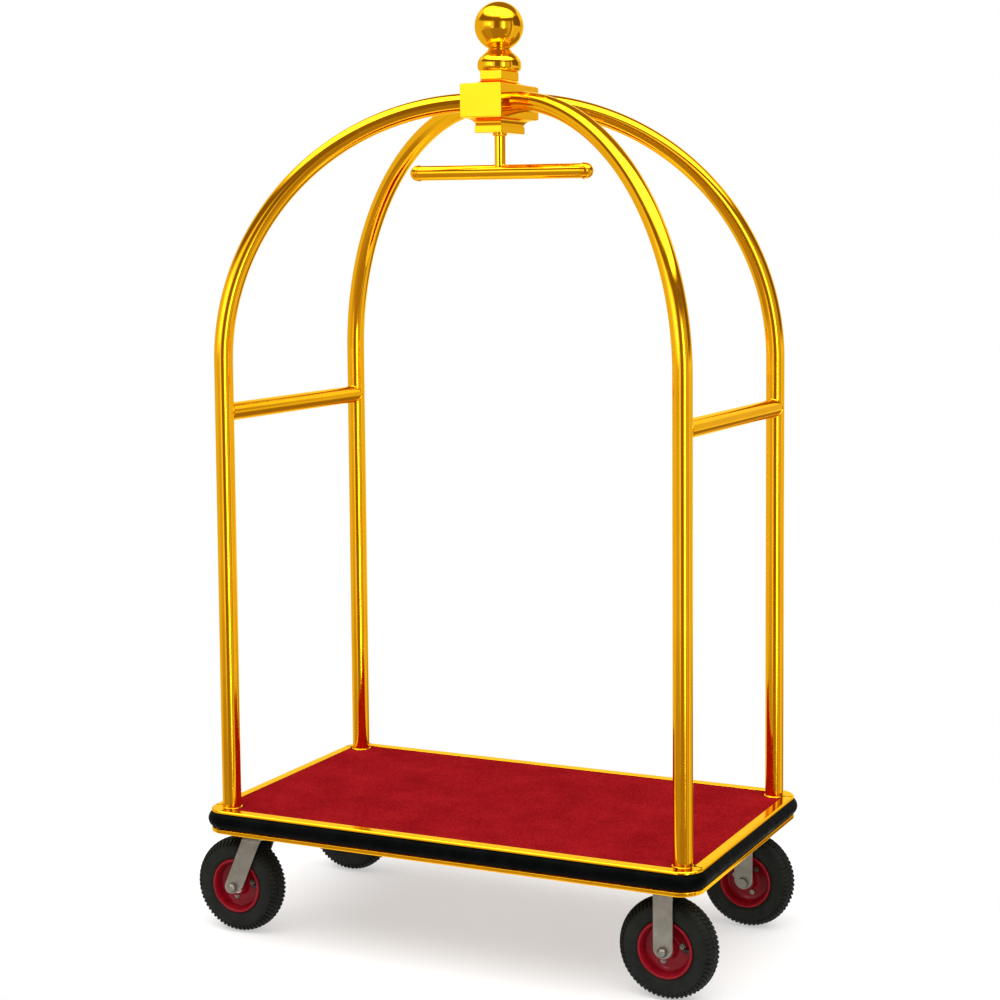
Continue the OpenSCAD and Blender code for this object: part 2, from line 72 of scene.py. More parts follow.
POST_X = 500 * MM
POST_Y = 257 * MM
POST_R = 19 * MM
ARCH_R = 523 * MM
CROWN_Z = 1710 * MM
ARCH_Z = CROWN_Z - ARCH_R
CROWN_L = 92 * MM
CROWN_W = 170 * MM
CROWN_H = 66 * MM
ENTRY_Y = 25 * MM
CAP_H = 29 * MM
BASE_H = 30 * MM
BULB_H = 46 * MM
BALL_R = 49.5 * MM
BALL_Z = CROWN_Z + CROWN_H / 2 + CAP_H + BULB_H + BALL_R - 5.5 * MM
BAR_Z = CROWN_Z - 140 * MM
BAR_R = 15 * MM
BAR_HALF = 184 * MM
RAIL_Z = 1086 * MM
RAIL_R = 18.5 * MM
POST_SIGNS = {
    "front_left": (-1, -1),
    "front_right": (1, -1),
    "rear_left": (-1, 1),
    "rear_right": (1, 1),
}

WHEEL_R = 99 * MM
WHEEL_Y = 220 * MM
CASTER_X = 457 * MM
TRAIL = 47 * MM
LEG_IN = 30 * MM
LEG_T = 4 * MM
LEG_W = 40 * MM
PLATE_TOP = 227 * MM
PLATE_BOTTOM = 223 * MM
FORK_TOP = 208 * MM


# ------------------------------------------------------------------ mesh helpers

def moved(part, matrix):
    verts, faces = part
    return [tuple(matrix @ Vector(v)) for v in verts], faces


def shift(x, y, z):
    return Matrix.Translation((x, y, z))


def turn(degrees, axis):
    return Matrix.Rotation(math.radians(degrees), 4, axis)


def joined(parts):
    verts = []
    faces = []
    for part_verts, part_faces in parts:
        start = len(verts)
        verts += part_verts
        faces += [tuple(start + i for i in face) for face in part_faces]
    return verts, faces


def loft(rings, closed=False):
    """Quads between rings of equal length; closed joins the last ring to the first."""
    count = len(rings[0])
    verts = [point for ring in rings for point in ring]
    faces = []
    pairs = len(rings) if closed else len(rings) - 1
    for i in range(pairs):
        a = i * count
        b = ((i + 1) % len(rings)) * count
        for j in range(count):
            k = (j + 1) % count
            faces.append((a + j, a + k, b + k, b + j))
    if not closed:
        faces.append(tuple(range(count)))
        last = (len(rings) - 1) * count
        faces.append(tuple(range(last + count - 1, last - 1, -1)))
    return verts, faces


def circle(radius, z, steps):
    angles = [2 * math.pi * i / steps for i in range(steps)]
    return [(radius * math.cos(a), radius * math.sin(a), z) for a in angles]


def lathe(profile, steps=64, closed=False):
    """Turns a profile of (radius, z) about the z axis."""
    return loft([circle(max(r, 1e-5), z, steps) for r, z in profile], closed)


def arc(cx, cy, radius, start, end, steps):
    angles = [math.radians(start + (end - start) * i / steps) for i in range(steps + 1)]
    return [(cx + radius * math.cos(a), cy + radius * math.sin(a)) for a in angles]


def sweep(path, radius, steps, closed=False):
    """A round tube along a path, without twist."""
    points = [Vector(p) for p in path]
    count = len(points)
    rings = []
    side = None
    for i, point in enumerate(points):
        before = points[(i - 1) % count] if closed or i else point
        after = points[(i + 1) % count] if closed or i < count - 1 else point
        ahead = (after - before).normalized()
        if side is None:
            side = ahead.orthogonal().normalized()
        side = (side - ahead * side.dot(ahead)).normalized()
        other = ahead.cross(side)
        ring = []
        for k in range(steps):
            a = 2 * math.pi * k / steps
            ring.append(tuple(point + radius * (side * math.cos(a) + other * math.sin(a))))
        rings.append(ring)
    return loft(rings, closed)


def inset(outline, distance):
    """Moves a counterclockwise outline inwards."""
    result = []
    count = len(outline)
    for i in range(count):
        before = Vector(outline[i]) - Vector(outline[i - 1])
        after = Vector(outline[(i + 1) % count]) - Vector(outline[i])
        n1 = Vector((-before.y, before.x)).normalized()
        n2 = Vector((-after.y, after.x)).normalized()
        mitre = n1 + n2
        mitre = mitre / max(mitre.length_squared / 2, 0.3)
        result.append(tuple(Vector(outline[i]) + distance * mitre))
    return result


def bevel_levels(z0, z1, bevel, steps=3):
    """Levels of (distance inwards, z) that round the lower and upper edges of a block."""
    levels = []
    for i in range(steps + 1):
        a = math.pi / 2 * i / steps
        levels.append((bevel * (1 - math.sin(a)), z0 + bevel * (1 - math.cos(a))))
    for i in range(steps + 1):
        a = math.pi / 2 * i / steps
        levels.append((bevel * (1 - math.cos(a)), z1 - bevel * (1 - math.sin(a))))
    return levels


def rounded_slab(outline, z0, z1, bevel):
    """An outline extruded from z0 to z1 with rounded edges."""
    levels = bevel_levels(z0, z1, bevel)
    return loft([[(x, y, z) for x, y in inset(outline, d)] for d, z in levels])


def rounded_rectangle(half_x, half_y, radius, steps=5):
    outline = []
    for start, sx, sy in ((0, 1, 1), (90, -1, 1), (180, -1, -1), (270, 1, -1)):
        cx = sx * (half_x - radius)
        cy = sy * (half_y - radius)
        outline += arc(cx, cy, radius, start, start + 90, steps)
    return outline


def hexagon_prism(across, z0, z1, chamfer_low=True, chamfer_high=True):
    """A hexagon bar whose ends are turned to a cone, as on nuts and bolt heads."""
    steps = 48
    flat = across / 2
    land = 0.96 * flat
    slope = 0.55
    rings = [[], [], [], []]
    for i in range(steps):
        a = 2 * math.pi * i / steps
        r = flat / math.cos((a % (math.pi / 3)) - math.pi / 6)
        cut = (r - land) * slope
        low = z0 + cut if chamfer_low else z0
        high = z1 - cut if chamfer_high else z1
        start = land if chamfer_low else r - 1e-5
        end = land if chamfer_high else r - 1e-5
        c, s = math.cos(a), math.sin(a)
        rings[0].append((start * c, start * s, z0))
        rings[1].append((r * c, r * s, low))
        rings[2].append((r * c, r * s, high))
        rings[3].append((end * c, end * s, z1))
    return loft(rings)


def thread(radius, z0, z1, pitch=1.25 * MM):
    """A threaded stud with rings of thread and a chamfered end at z1."""
    root = radius - 0.5 * pitch
    profile = [(root, z0)]
    z = z0
    while z + pitch < z1 - pitch:
        profile += [(root, z + 0.1 * pitch), (radius, z + 0.45 * pitch), (radius, z + 0.6 * pitch)]
        z += pitch
    profile += [(root, z1 - 0.5 * pitch), (root - 0.4 * pitch, z1)]
    return lathe(profile, 32)


def washer(inner, outer, z0, z1):
    edge = 0.2 * (z1 - z0)
    profile = [
        (inner, z0), (outer - edge, z0), (outer, z0 + edge),
        (outer, z1 - edge), (outer - edge, z1), (inner, z1),
    ]
    return lathe(profile, 48, closed=True)


def mesh_piece(name, mesh, body, slot, nodes, sharp):
    """Makes a mesh a piece that rides on a body and stands for CAD nodes."""
    mesh.polygons.foreach_set("use_smooth", [True] * len(mesh.polygons))
    mesh.set_sharp_from_angle(angle=math.radians(sharp))
    mesh.materials.append(MATERIALS[slot])
    piece = bpy.data.objects.new(name, mesh)
    bpy.context.scene.collection.objects.link(piece)
    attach(piece, body)
    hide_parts(*nodes)
    return piece


def make_piece(name, part, body, slot, nodes, sharp=32):
    verts, faces = part
    mesh = bpy.data.meshes.new(name)
    mesh.from_pydata(verts, [], faces)
    work = bmesh.new()
    work.from_mesh(mesh)
    bmesh.ops.remove_doubles(work, verts=work.verts, dist=1e-6)
    bmesh.ops.recalc_face_normals(work, faces=work.faces)
    work.to_mesh(mesh)
    work.free()
    piece = mesh_piece(name, mesh, body, slot, nodes, sharp)
    shading = piece.modifiers.new("flat faces stay flat", "WEIGHTED_NORMAL")
    shading.keep_sharp = True


def gold_piece(name, part, node):
    make_piece(name, part, "root", "polished_gold", [node])


def zinc_piece(name, part, body, node):
    make_piece(name, part, body, "zinc_plate", [node])


# ------------------------------------------------------------------ material helpers

class Nodes:
    """Short ways to add nodes to a node tree."""

    def __init__(self, tree):
        self.tree = tree

    def new(self, kind):
        return self.tree.nodes.new("ShaderNode" + kind)

    def link(self, source, target):
        self.tree.links.new(source, target)

    def feed(self, value, socket):
        """Links an output to a socket, or sets the socket to a number or a colour."""
        if isinstance(value, tuple):
            socket.default_value = (*value, 1.0)
        elif isinstance(value, (int, float)):
            socket.default_value = value
        else:
            self.link(value, socket)

    def between(self, value, low, high, out_low, out_high, smooth=False):
        node = self.new("MapRange")
        if smooth:
            node.interpolation_type = "SMOOTHSTEP"
        limits = (("From Min", low), ("From Max", high), ("To Min", out_low), ("To Max", out_high))
        for socket, number in limits:
            node.inputs[socket].default_value = number
        self.link(value, node.inputs["Value"])
        return node.outputs["Result"]

    def math(self, operation, a, b=0.0):
        node = self.new("Math")
        node.operation = operation
        self.feed(a, node.inputs[0])
        self.feed(b, node.inputs[1])
        return node.outputs["Value"]

    def ramp(self, value, stops):
        node = self.new("ValToRGB")
        ramp = node.color_ramp
        while len(ramp.elements) < len(stops):
            ramp.elements.new(0.5)
        for element, (position, color) in zip(ramp.elements, stops):
            element.position = position
            element.color = (*color, 1.0)
        self.link(value, node.inputs["Fac"])
        return node.outputs["Color"]

    def mix(self, factor, a, b):
        node = self.new("Mix")
        node.data_type = "RGBA"
        self.feed(factor, node.inputs["Factor"])
        self.feed(a, node.inputs[6])
        self.feed(b, node.inputs[7])
        return node.outputs[2]

    def mix_value(self, factor, a, b):
        node = self.new("Mix")
        self.feed(factor, node.inputs["Factor"])
        self.feed(a, node.inputs[2])
        self.feed(b, node.inputs[3])
        return node.outputs[0]


class Shader(Nodes):
    """A material with a Principled shader."""

    def __init__(self, name, metallic=0.0, roughness=0.5, **sockets):
        self.material = bpy.data.materials.new(name)
        self.material.use_nodes = True
        super().__init__(self.material.node_tree)
        self.shader = self.tree.nodes["Principled BSDF"]
        self.shader.inputs["Metallic"].default_value = metallic
        self.shader.inputs["Roughness"].default_value = roughness
        for socket, value in sockets.items():
            self.shader.inputs[socket.replace("_", " ")].default_value = value
        self.place = self.new("TexCoord").outputs["Object"]

    def scaled(self, scale):
        node = self.new("Mapping")
        node.inputs["Scale"].default_value = scale
        self.link(self.place, node.inputs["Vector"])
        return node.outputs["Vector"]

    def noise(self, scale, detail=4.0, roughness=0.55, distortion=0.0, stretch=None):
        node = self.new("TexNoise")
        node.inputs["Scale"].default_value = scale
        node.inputs["Detail"].default_value = detail
        node.inputs["Roughness"].default_value = roughness
        node.inputs["Distortion"].default_value = distortion
        self.link(self.scaled(stretch) if stretch else self.place, node.inputs["Vector"])
        return node.outputs["Fac"]

    def cells(self, scale, output="Distance"):
        node = self.new("TexVoronoi")
        node.inputs["Scale"].default_value = scale
        self.link(self.place, node.inputs["Vector"])
        return node.outputs[output]

    def wave(self, scale, distortion, stretch=None):
        node = self.new("TexWave")
        node.inputs["Scale"].default_value = scale
        node.inputs["Distortion"].default_value = distortion
        node.inputs["Detail"].default_value = 3.0
        self.link(self.scaled(stretch) if stretch else self.place, node.inputs["Vector"])
        return node.outputs["Fac"]

    def color(self, source):
        self.link(source, self.shader.inputs["Base Color"])

    def roughness(self, source):
        self.link(source, self.shader.inputs["Roughness"])

    def bump(self, height, strength, distance):
        node = self.new("Bump")
        node.inputs["Strength"].default_value = strength
        node.inputs["Distance"].default_value = distance
        self.link(height, node.inputs["Height"])
        self.link(node.outputs["Normal"], self.shader.inputs["Normal"])


def polished_gold():
    """Polished gold under clear lacquer, with fine wiping marks and faint smudges."""
    s = Shader("polished_gold", metallic=1.0, roughness=0.07, Coat_Weight=0.1, Coat_Roughness=0.03)
    s.shader.inputs["Specular Tint"].default_value = (1.0, 0.78, 0.06, 1.0)
    tone = s.noise(7.0, detail=3.0)
    s.color(s.ramp(tone, [(0.35, (0.95, 0.470, 0.006)), (0.65, (1.0, 0.510, 0.008))]))
    smudge = s.between(s.noise(16.0, detail=5.0), 0.45, 0.72, 0.075, 0.15)
    marks = s.between(s.noise(420.0, detail=2.0, stretch=(1.0, 1.0, 0.06)), 0.5, 0.8, 0.0, 0.08)
    s.roughness(s.math("ADD", smudge, marks))
    s.bump(s.noise(260.0, detail=3.0), 0.02, 0.0003)
    return s.material


def carpet_pile():
    """Short, dense cut pile: every tuft has its own tone, and soft patches of painted shading stand in for
    the light and dark of pile that leans.
    """
    s = Shader("carpet_pile", roughness=0.95, Specular_IOR_Level=0.0)
    s.shader.inputs["Sheen Weight"].default_value = 0.015
    s.shader.inputs["Sheen Roughness"].default_value = 0.5
    s.shader.inputs["Sheen Tint"].default_value = (0.9, 0.15, 0.15, 1.0)
    tufts = s.cells(430.0, "Color")
    tuft_tone = s.new("SeparateColor")
    s.link(tufts, tuft_tone.inputs["Color"])
    # painted shading: soft patches lighter and darker where leaning pile would catch or lose the light
    pile_shade_patches = s.noise(11.0, detail=5.0, roughness=0.6)
    tone = s.math("ADD", s.math("MULTIPLY", tuft_tone.outputs["Red"], 0.45),
                  s.math("MULTIPLY", pile_shade_patches, 0.75))
    s.color(s.ramp(tone, [
        (0.28, (0.125, 0.0022, 0.0040)),
        (0.58, (0.188, 0.0042, 0.0064)),
        (0.90, (0.255, 0.0080, 0.0105)),
    ]))
    depth = s.math("ADD", s.cells(430.0), s.math("MULTIPLY", s.noise(900.0), 0.6))
    s.bump(depth, 0.55, 0.0016)
    return s.material


def bumper_rubber():
    """Extruded black rubber: satin, with faint lengthwise drag marks and a little dust."""
    s = Shader("bumper_rubber", roughness=0.42, Specular_IOR_Level=0.018)
    dust = s.noise(24.0, detail=6.0, roughness=0.65)
    s.color(s.ramp(dust, [(0.42, (0.0006, 0.0010, 0.0010)), (0.80, (0.0030, 0.0036, 0.0034))]))
    s.roughness(s.between(s.noise(60.0, detail=4.0), 0.3, 0.7, 0.38, 0.60))
    s.bump(s.noise(340.0, detail=3.0, stretch=(1.0, 1.0, 4.0)), 0.12, 0.0006)
    return s.material


def tyre_rubber():
    """Moulded black tyre rubber with a dry bloom and fine grain."""
    s = Shader("tyre_rubber", roughness=0.66, Specular_IOR_Level=0.16)
    bloom = s.noise(19.0, detail=6.0, roughness=0.62)
    s.color(s.ramp(bloom, [(0.35, (0.0026, 0.0034, 0.0024)), (0.75, (0.0090, 0.0102, 0.0070))]))
    s.roughness(s.between(s.noise(70.0, detail=4.0), 0.3, 0.7, 0.50, 0.74))
    grain = s.math("ADD", s.noise(520.0, detail=2.0), s.math("MULTIPLY", s.cells(240.0), 0.4))
    s.bump(grain, 0.22, 0.0005)
    return s.material


def tube_rubber():
    s = Shader("tube_rubber", roughness=0.5, Specular_IOR_Level=0.3)
    s.color(s.ramp(s.noise(40.0), [(0.3, (0.012, 0.012, 0.012)), (0.7, (0.026, 0.026, 0.026))]))
    s.bump(s.noise(300.0), 0.15, 0.0005)
    return s.material


def red_rim_paint():
    """Glossy red enamel with orange peel, slight fading and a few chips down to primer."""
    s = Shader("red_rim_paint", roughness=0.30, Specular_IOR_Level=0.10)
    s.shader.inputs["Coat Weight"].default_value = 0.06
    s.shader.inputs["Coat Roughness"].default_value = 0.06
    fade = s.noise(26.0, detail=4.0)
    enamel = s.ramp(fade, [(0.3, (0.165, 0.0022, 0.0070)), (0.75, (0.240, 0.0048, 0.0115))])
    chips = s.between(s.noise(210.0, detail=3.0, roughness=0.7), 0.735, 0.75, 0.0, 1.0)
    s.color(s.mix(chips, enamel, (0.10, 0.055, 0.045)))
    s.roughness(s.between(s.noise(55.0, detail=5.0), 0.4, 0.75, 0.16, 0.34))
    s.bump(s.noise(380.0, detail=1.0), 0.10, 0.0004)
    return s.material


def zinc_plate():
    """Satin zinc plating: cloudy, faintly warm, with fine brushing along the strap."""
    s = Shader("zinc_plate", metallic=1.0, roughness=0.4)
    clouds = s.noise(34.0, detail=6.0, roughness=0.6)
    s.color(s.ramp(clouds, [
        (0.30, (0.170, 0.158, 0.132)),
        (0.55, (0.225, 0.210, 0.178)),
        (0.80, (0.295, 0.280, 0.245)),
    ]))
    brushing = s.noise(900.0, detail=2.0, stretch=(1.0, 1.0, 0.05))
    s.roughness(s.between(s.math("ADD", s.math("MULTIPLY", brushing, 0.5), clouds),
                          0.5, 1.1, 0.34, 0.54))
    s.bump(brushing, 0.06, 0.0004)
    return s.material


def plain_steel():
    s = Shader("plain_steel", metallic=1.0, roughness=0.32)
    s.color(s.ramp(s.noise(28.0, detail=5.0), [(0.3, (0.40, 0.40, 0.40)), (0.7, (0.54, 0.545, 0.55))]))
    s.roughness(s.between(s.noise(240.0, stretch=(1.0, 0.08, 1.0)), 0.3, 0.7, 0.24, 0.44))
    s.bump(s.noise(500.0, stretch=(1.0, 0.08, 1.0)), 0.05, 0.0004)
    return s.material


def plywood():
    """Birch plywood, face grain along the deck."""
    s = Shader("plywood", roughness=0.62, Specular_IOR_Level=0.3)
    grain = s.wave(5.0, 9.0, stretch=(0.35, 6.0, 6.0))
    pores = s.noise(240.0, detail=3.0, stretch=(0.04, 1.0, 1.0))
    tone = s.math("ADD", s.math("MULTIPLY", grain, 0.5), s.math("MULTIPLY", pores, 0.5))
    s.color(s.ramp(tone, [
        (0.25, (0.30, 0.18, 0.085)),
        (0.55, (0.43, 0.28, 0.15)),
        (0.85, (0.52, 0.36, 0.21)),
    ]))
    s.bump(pores, 0.15, 0.0006)
    return s.material


MATERIALS = {
    "polished_gold": polished_gold(),
    "carpet": carpet_pile(),
    "bumper_rubber": bumper_rubber(),
    "plywood": plywood(),
    "tyre_rubber": tyre_rubber(),
    "tube_rubber": tube_rubber(),
    "red_rim_paint": red_rim_paint(),
    "plain_steel": plain_steel(),
    "zinc_plate": zinc_plate(),
}


def finish_cad_nodes():
    for part in frame["record"]["subparts"]:
        node = frame["nodes"][part["node"]]
        node.data.materials.clear()
        node.data.materials.append(MATERIALS[part["material_slot"]])


# ------------------------------------------------------------------ deck

def deck_stations(arc_steps=14):
    """(corner x, corner y, direction) around the deck, counterclockwise from the right side."""
    stations = []
    for quarter in range(4):
        sx = 1 if quarter in (0, 3) else -1
        sy = 1 if quarter < 2 else -1
        for i in range(arc_steps + 1):
            a = math.radians(90 * quarter + 90 * i / arc_steps)
            stations.append((sx * CORNER_X, sy * CORNER_Y, Vector((math.cos(a), math.sin(a)))))
    return stations


def around_deck(section):
    """Carries a closed section (distance from the corner centre, z) around the deck."""
    rings = []
    for x, y, out in deck_stations():
        rings.append([(CART_X + x + out.x * d, y + out.y * d, z) for d, z in section])
    return loft(rings, closed=True)


def top_flange():
    """The gold ledge around the carpet, with a seat under each post."""
    outer_r = 3.2 * MM
    inner_r = 1.0 * MM
    arc_steps = 24
    rings = []
    for quarter in range(4):
        spin = Matrix.Rotation(math.radians(90 * quarter), 2)
        wide = quarter in (0, 2)
        corner = Vector((CORNER_X, CORNER_Y)) if wide else Vector((CORNER_Y, CORNER_X))
        post = Vector((POST_X, POST_Y)) if wide else Vector((POST_Y, POST_X))
        half = Vector((HALF_L, HALF_W)) if wide else Vector((HALF_W, HALF_L))
        ledge = half - Vector((LEDGE_W, LEDGE_W))
        stops = []
        for i in range(arc_steps + 1):
            share = i / arc_steps
            a = math.radians(90 * share)
            b = math.radians(-270 * share)
            out = Vector((math.cos(a), math.sin(a)))
            towards = Vector((math.cos(b), math.sin(b)))
            inner = post + SEAT_R * towards
            inner.x = min(inner.x, ledge.x)
            inner.y = min(inner.y, ledge.y)
            stops.append((corner + CORNER_R * out, out, inner, towards))
        first_y = post.y - SEAT_R
        start = (Vector((half.x, first_y)), Vector((1, 0)), Vector((ledge.x, first_y)), Vector((-1, 0)))
        first_x = post.x - SEAT_R
        end = (Vector((first_x, half.y)), Vector((0, 1)), Vector((first_x, ledge.y)), Vector((0, -1)))
        for outer, out, inner, towards in [start] + stops + [end]:
            ring = []
            for k in range(6):
                a = math.pi / 2 * k / 5
                edge = outer - out * outer_r * (1 - math.cos(a))
                height = DECK_TOP - outer_r * (1 - math.sin(a))
                ring.append((edge, PANEL_TOP + 0.1 * MM if k == 0 else height))
            for k in range(4):
                a = math.pi / 2 * k / 3
                edge = inner - towards * inner_r * (1 - math.sin(a))
                ring.append((edge, DECK_TOP - inner_r * (1 - math.cos(a))))
            ring.append((inner, PANEL_TOP + 0.1 * MM))
            rings.append([(CART_X + (spin @ p).x, (spin @ p).y, z) for p, z in ring])
    return loft(rings, closed=True)


def rim_channel():
    """Web, bottom plate and upturned lip, folded from one sheet."""
    web_out = CORNER_R - WEB_IN
    web_back = web_out - WEB_T
    sole = RIM_BOTTOM + 3 * MM
    fold = 2.4 * MM
    section = [(web_back, PANEL_TOP + 0.5 * MM), (web_back, sole)]
    section += [(CORNER_R - PLATE_IN, sole), (CORNER_R - PLATE_IN, RIM_BOTTOM)]
    section += arc(CORNER_R - fold, RIM_BOTTOM + fold, fold, 270, 360, 5)
    top = RIM_BOTTOM + LIP_H
    section += arc(CORNER_R - 1.2 * MM, top - 1.2 * MM, 1.2 * MM, 0, 90, 3)
    section += arc(CORNER_R - LIP_T + 1 * MM, top - 1 * MM, 1 * MM, 90, 180, 3)
    section += [(CORNER_R - LIP_T, sole), (web_out, sole), (web_out, PANEL_TOP + 0.5 * MM)]
    return around_deck(section)


def build_deck_rim():
    gold_piece("deck_rim", joined([top_flange(), rim_channel()]), "deck_frame")


def build_bumper():
    """A D-shaped rubber profile that fills the channel, with softly rounded shoulders."""
    mid_z = (RIM_BOTTOM + LIP_H + PANEL_TOP) / 2
    half_h = (PANEL_TOP - RIM_BOTTOM - LIP_H) / 2 - 0.3 * MM
    reach = CORNER_R + 7 * MM
    round_r = 18 * MM
    shoulder = 2.2 * MM
    cx = reach - round_r
    back = CORNER_R - WEB_IN + 0.4 * MM
    limit = math.degrees(math.asin((half_h - 0.8 * MM) / round_r))
    section = [(back, mid_z - half_h)]
    edge_x = cx + round_r * math.cos(math.radians(limit)) - shoulder
    section.append((edge_x, mid_z - half_h))
    section += arc(cx, mid_z, round_r, -limit, limit, 26)
    section += [(edge_x, mid_z + half_h), (back, mid_z + half_h)]
    make_piece("bumper_profile", around_deck(section), "root", "bumper_rubber", ["bumper_strip"], sharp=50)


def build_carpet():
    """The pile as a closed sheet: a slightly uneven top, rounded edges, cut round the post seats."""
    half_x = HALF_L - LEDGE_W - 0.6 * MM
    half_y = HALF_W - LEDGE_W - 0.6 * MM
    columns, rows = 208, 112
    cut_r = SEAT_R + 0.7 * MM
    base = PANEL_TOP + 0.2 * MM

    def spread(i, count, half):
        return -half + 2 * half * i / count

    work = bmesh.new()
    grid = {}
    for i in range(columns + 1):
        for j in range(rows + 1):
            x = spread(i, columns, half_x)
            y = spread(j, rows, half_y)
            ax, ay = abs(x), abs(y)
            away = Vector((ax - POST_X, ay - POST_Y))
            beyond = away.x > 0 and away.y > 0
            if beyond or away.length < cut_r * 0.72:
                continue
            if away.length < cut_r:
                away = away.normalized() * cut_r
                ax, ay = POST_X + away.x, POST_Y + away.y
                ax, ay = min(ax, half_x), min(ay, half_y)
            sx = 1 if x >= 0 else -1
            sy = 1 if y >= 0 else -1
            rim = min(half_x - ax, half_y - ay, (Vector((ax - POST_X, ay - POST_Y))).length - cut_r)
            drop = 1.3 * MM * max(0.0, 1 - rim / (3.0 * MM)) ** 2
            height = DECK_TOP - 0.15 * MM - drop - random.random() * 0.45 * MM
            grid[i, j] = work.verts.new((CART_X + sx * ax, sy * ay, height))
    for i in range(columns):
        for j in range(rows):
            corners = [(i, j), (i + 1, j), (i + 1, j + 1), (i, j + 1)]
            if all(c in grid for c in corners):
                work.faces.new([grid[c] for c in corners])
    loose = [v for v in work.verts if not v.link_faces]
    bmesh.ops.delete(work, geom=loose, context="VERTS")
    edges = [e for e in work.edges if e.is_boundary]
    skirt = bmesh.ops.extrude_edge_only(work, edges=edges)
    for v in [g for g in skirt["geom"] if isinstance(g, bmesh.types.BMVert)]:
        v.co.z = base
    under = [e for e in work.edges if e.is_boundary]
    bmesh.ops.triangle_fill(work, use_beauty=True, use_dissolve=False, edges=under)
    bmesh.ops.recalc_face_normals(work, faces=work.faces)
    mesh = bpy.data.meshes.new("carpet_sheet")
    work.to_mesh(mesh)
    work.free()
    piece = mesh_piece("carpet_sheet", mesh, "root", "carpet", ["carpet"], 70)


# ------------------------------------------------------------------ posts, rails and crown

def post_frame(sx, sy):
    """Carries a post drawn at the origin, bending towards +X, to its corner."""
    heading = math.atan2(POST_Y - ENTRY_Y, POST_X - CROWN_L / 2)
    angle = math.atan2(-sy * math.sin(heading), -sx * math.cos(heading))
    return shift(CART_X + sx * POST_X, sy * POST_Y, 0) @ Matrix.Rotation(angle, 4, "Z")


def arch_point(degrees):
    a = math.radians(degrees)
    return (ARCH_R * (1 - math.cos(a)), 0, ARCH_Z + ARCH_R * math.sin(a))


def weld_ring(radius, bead, z, sides=10, steps=64):
    """A small bead of weld around a joint."""
    angles = [2 * math.pi * k / sides for k in range(sides)]
    profile = [(radius + bead * math.cos(a), z + bead * math.sin(a)) for a in angles]
    return lathe(profile, steps, closed=True)


def build_post(name, sx, sy):
    straight = [(0, 0, DECK_TOP - 0.3 * MM)]
    straight += [(0, 0, DECK_TOP + (ARCH_Z - DECK_TOP) * k / 24) for k in range(1, 24)]
    plan = math.hypot(POST_X - CROWN_L / 2, POST_Y - ENTRY_Y)
    last = math.degrees(math.acos(1 - (plan + 6 * MM) / ARCH_R))
    bend = [arch_point(last * k / 72) for k in range(73)]
    tube = sweep(straight + bend, POST_R, 56)
    foot = weld_ring(POST_R - 0.4 * MM, 1.1 * MM, DECK_TOP)
    part = joined([tube, foot])
    gold_piece("post_tube_" + name, moved(part, post_frame(sx, sy)), "post_" + name)


def saddle(sign):
    """The weld bead where a side rail meets a post: a closed path on the post's surface."""
    path = []
    bead = 1.2 * MM
    for k in range(48):
        a = 2 * math.pi * k / 48
        x = (RAIL_R - 0.1 * MM) * math.cos(a)
        z = (RAIL_R + 0.1 * MM) * math.sin(a)
        y = math.sqrt(POST_R ** 2 - x ** 2)
        path.append((x, sign * (POST_Y - y), z))
    return sweep(path, bead, 8, closed=True)


def build_side_rail(name, sx):
    inside = POST_Y - 10 * MM
    steps = 20
    path = [(0, -inside + 2 * inside * k / steps, 0) for k in range(steps + 1)]
    part = joined([sweep(path, RAIL_R, 48), saddle(1), saddle(-1)])
    place = shift(CART_X + sx * POST_X, 0, RAIL_Z)
    gold_piece("rail_tube_" + name, moved(part, place), "side_rail_" + name)


def stepped_block(levels, corner=1.2 * MM):
    """Lofts rounded rectangles through levels of (half x, half y, z)."""
    rings = []
    for half_x, half_y, z in levels:
        rings.append([(x, y, z) for x, y in rounded_rectangle(half_x, half_y, corner, 3)])
    return loft(rings)


def edge_levels(half_x, half_y, z0, z1, bevel):
    """Levels of a block with rounded lower and upper edges."""
    return [(half_x - d, half_y - d, z) for d, z in bevel_levels(z0, z1, bevel)]


def cove_levels(big, small, z_big, z_small, steps=10):
    """A hollow quarter curve from the big plan to the small one."""
    levels = []
    for k in range(steps + 1):
        a = math.pi / 2 * k / steps
        share = 1 - math.sin(a)
        rise = 1 - math.cos(a)
        levels.append((
            small[0] + (big[0] - small[0]) * share,
            small[1] + (big[1] - small[1]) * share,
            z_big + (z_small - z_big) * rise,
        ))
    return levels


def build_crown():
    low = CROWN_Z - CROWN_H / 2
    high = CROWN_Z + CROWN_H / 2
    big = (CROWN_L / 2, CROWN_W / 2)
    place = shift(CART_X, 0, 0)
    block = stepped_block(edge_levels(*big, low, high, 1.0 * MM))
    gold_piece("crown_body", moved(block, place), "crown_block")

    shoulder = (big[0] - 3 * MM, big[1] - 3 * MM)
    cap_small = (24 * MM, 39 * MM)
    cap_top = high + CAP_H
    cap_end = (cap_small[0] - 1.5 * MM, cap_small[1] - 1.5 * MM)
    cap = cove_levels(shoulder, cap_end, high + 1.2 * MM, high + 11 * MM)
    cap = [(shoulder[0], shoulder[1], high - 0.5 * MM)] + cap
    cap += edge_levels(*cap_small, high + 11.2 * MM, cap_top, 1.0 * MM)
    gold_piece("crown_top_moulding", moved(stepped_block(cap), place), "crown_cap")

    base_small = (30 * MM, 53 * MM)
    base_low = low - BASE_H
    base_end = (base_small[0] - 1.5 * MM, base_small[1] - 1.5 * MM)
    base = cove_levels(shoulder, base_end, low - 1.2 * MM, low - 15 * MM)
    base = [(shoulder[0], shoulder[1], low + 0.5 * MM)] + base
    foot = edge_levels(*base_small, base_low, low - 15.2 * MM, 1.0 * MM)
    foot.reverse()
    gold_piece("crown_base_moulding", moved(stepped_block(base + foot), place), "crown_base")


